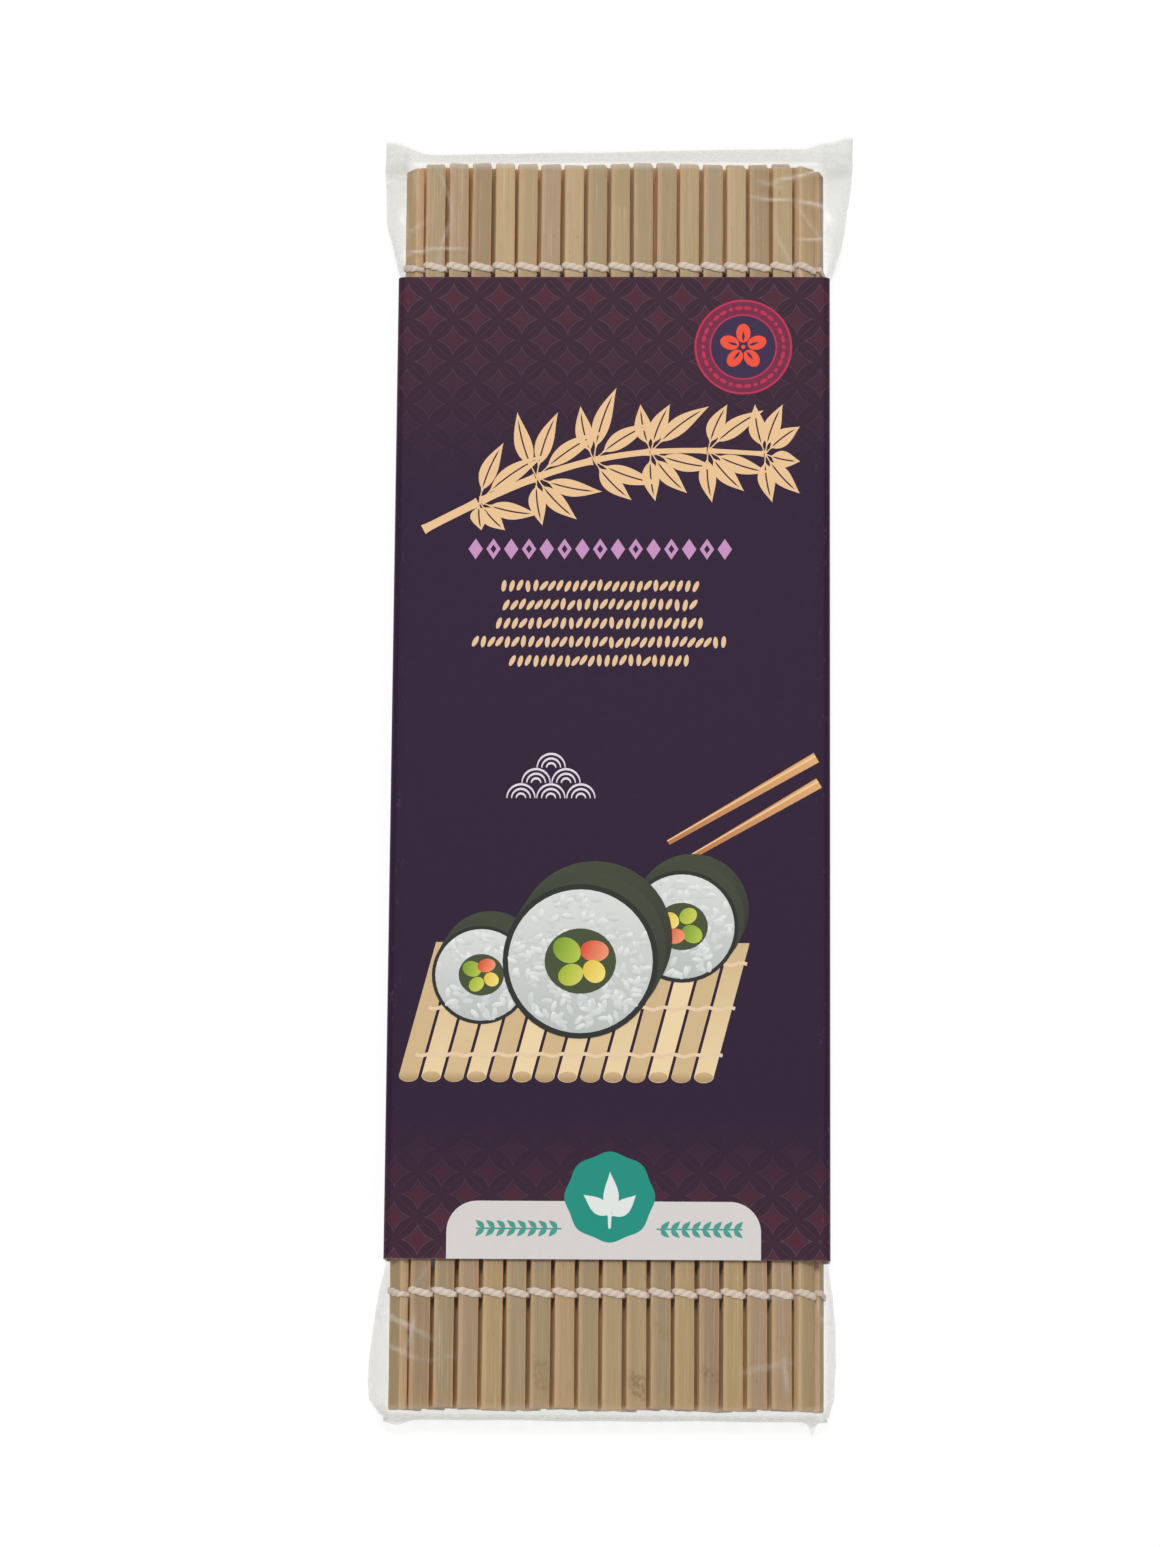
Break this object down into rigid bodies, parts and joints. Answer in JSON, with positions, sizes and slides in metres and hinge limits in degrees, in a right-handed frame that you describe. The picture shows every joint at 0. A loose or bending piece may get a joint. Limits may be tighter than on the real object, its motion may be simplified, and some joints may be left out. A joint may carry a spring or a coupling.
{
  "type": "sushi rolling mat",
  "caption": "Sushi rolling mat of flat bamboo slats joined by twined cotton strings, folded in three in a clear film bag, with a printed card sleeve that slides off.",
  "frame": {"origin": "under the middle of the pack, on the plane of the sleeve's back, which lies on the table", "axes": "+Y along the slats to the mouth of the bag, +Z out of the front, X across the slats with +X at the fold of two slats"},
  "size_m": [0.1022, 0.278, 0.0119],
  "materials": {
    "bamboo_light": "satin",
    "bamboo_yellow_grey": "satin",
    "bamboo_olive": "satin",
    "bamboo_warm": "satin",
    "bamboo_tan": "satin",
    "cotton": "matte",
    "film": "clear gloss",
    "card": "satin print"
  },
  "bodies": {
    "mat": {"inner_slat_16": "bamboo_olive", "inner_slat_15": "bamboo_tan", "inner_slat_14": "bamboo_light", "inner_slat_13": "bamboo_tan", "inner_slat_12": "bamboo_olive", "inner_slat_11": "bamboo_yellow_grey", "inner_slat_10": "bamboo_tan", "inner_slat_09": "bamboo_light", "inner_slat_08": "bamboo_warm", "inner_slat_07": "bamboo_warm", "inner_slat_06": "bamboo_light", "inner_slat_05": "bamboo_tan", "inner_slat_04": "bamboo_yellow_grey", "inner_slat_03": "bamboo_yellow_grey", "inner_slat_02": "bamboo_tan", "inner_slat_01": "bamboo_light", "left_fold_slat": "bamboo_warm", "front_slat_01": "bamboo_olive", "front_slat_02": "bamboo_light", "front_slat_03": "bamboo_tan", "front_slat_04": "bamboo_light", "front_slat_05": "bamboo_olive", "front_slat_06": "bamboo_tan", "front_slat_07": "bamboo_light", "front_slat_08": "bamboo_tan", "front_slat_09": "bamboo_olive", "front_slat_10": "bamboo_light", "front_slat_11": "bamboo_tan", "front_slat_12": "bamboo_light", "front_slat_13": "bamboo_warm", "front_slat_14": "bamboo_warm", "front_slat_15": "bamboo_light", "front_slat_16": "bamboo_tan", "right_fold_slat_1": "bamboo_yellow_grey", "right_fold_slat_2": "bamboo_yellow_grey", "back_slat_01": "bamboo_tan", "back_slat_02": "bamboo_light", "back_slat_03": "bamboo_warm", "back_slat_04": "bamboo_warm", "back_slat_05": "bamboo_light", "back_slat_06": "bamboo_tan", "back_slat_07": "bamboo_yellow_grey", "back_slat_08": "bamboo_olive", "back_slat_09": "bamboo_tan", "back_slat_10": "bamboo_light", "back_slat_11": "bamboo_tan", "back_slat_12": "bamboo_olive", "back_slat_13": "bamboo_light", "back_slat_14": "bamboo_tan", "back_slat_15": "bamboo_light", "back_slat_16": "bamboo_olive", "back_slat_17": "bamboo_warm", "string_row_1": "cotton", "string_row_2": "cotton", "string_row_3": "cotton", "string_row_4": "cotton", "string_row_5": "cotton"},
    "sleeve": {"card_sleeve": "card"},
    "film": {"film_bag": "film"}
  },
  "joints": [
    {"name": "sleeve_slide", "type": "slide", "parent": "mat", "child": "sleeve", "axis": [0, 1, 0], "range_m": [-0.25, 0.25], "deforming": ["film_bag"]},
    {"name": "film_slide", "type": "slide", "parent": "mat", "child": "film", "axis": [0, -1, 0], "range_m": [0, 0.29], "deforming": ["film_bag"]}
  ]
}
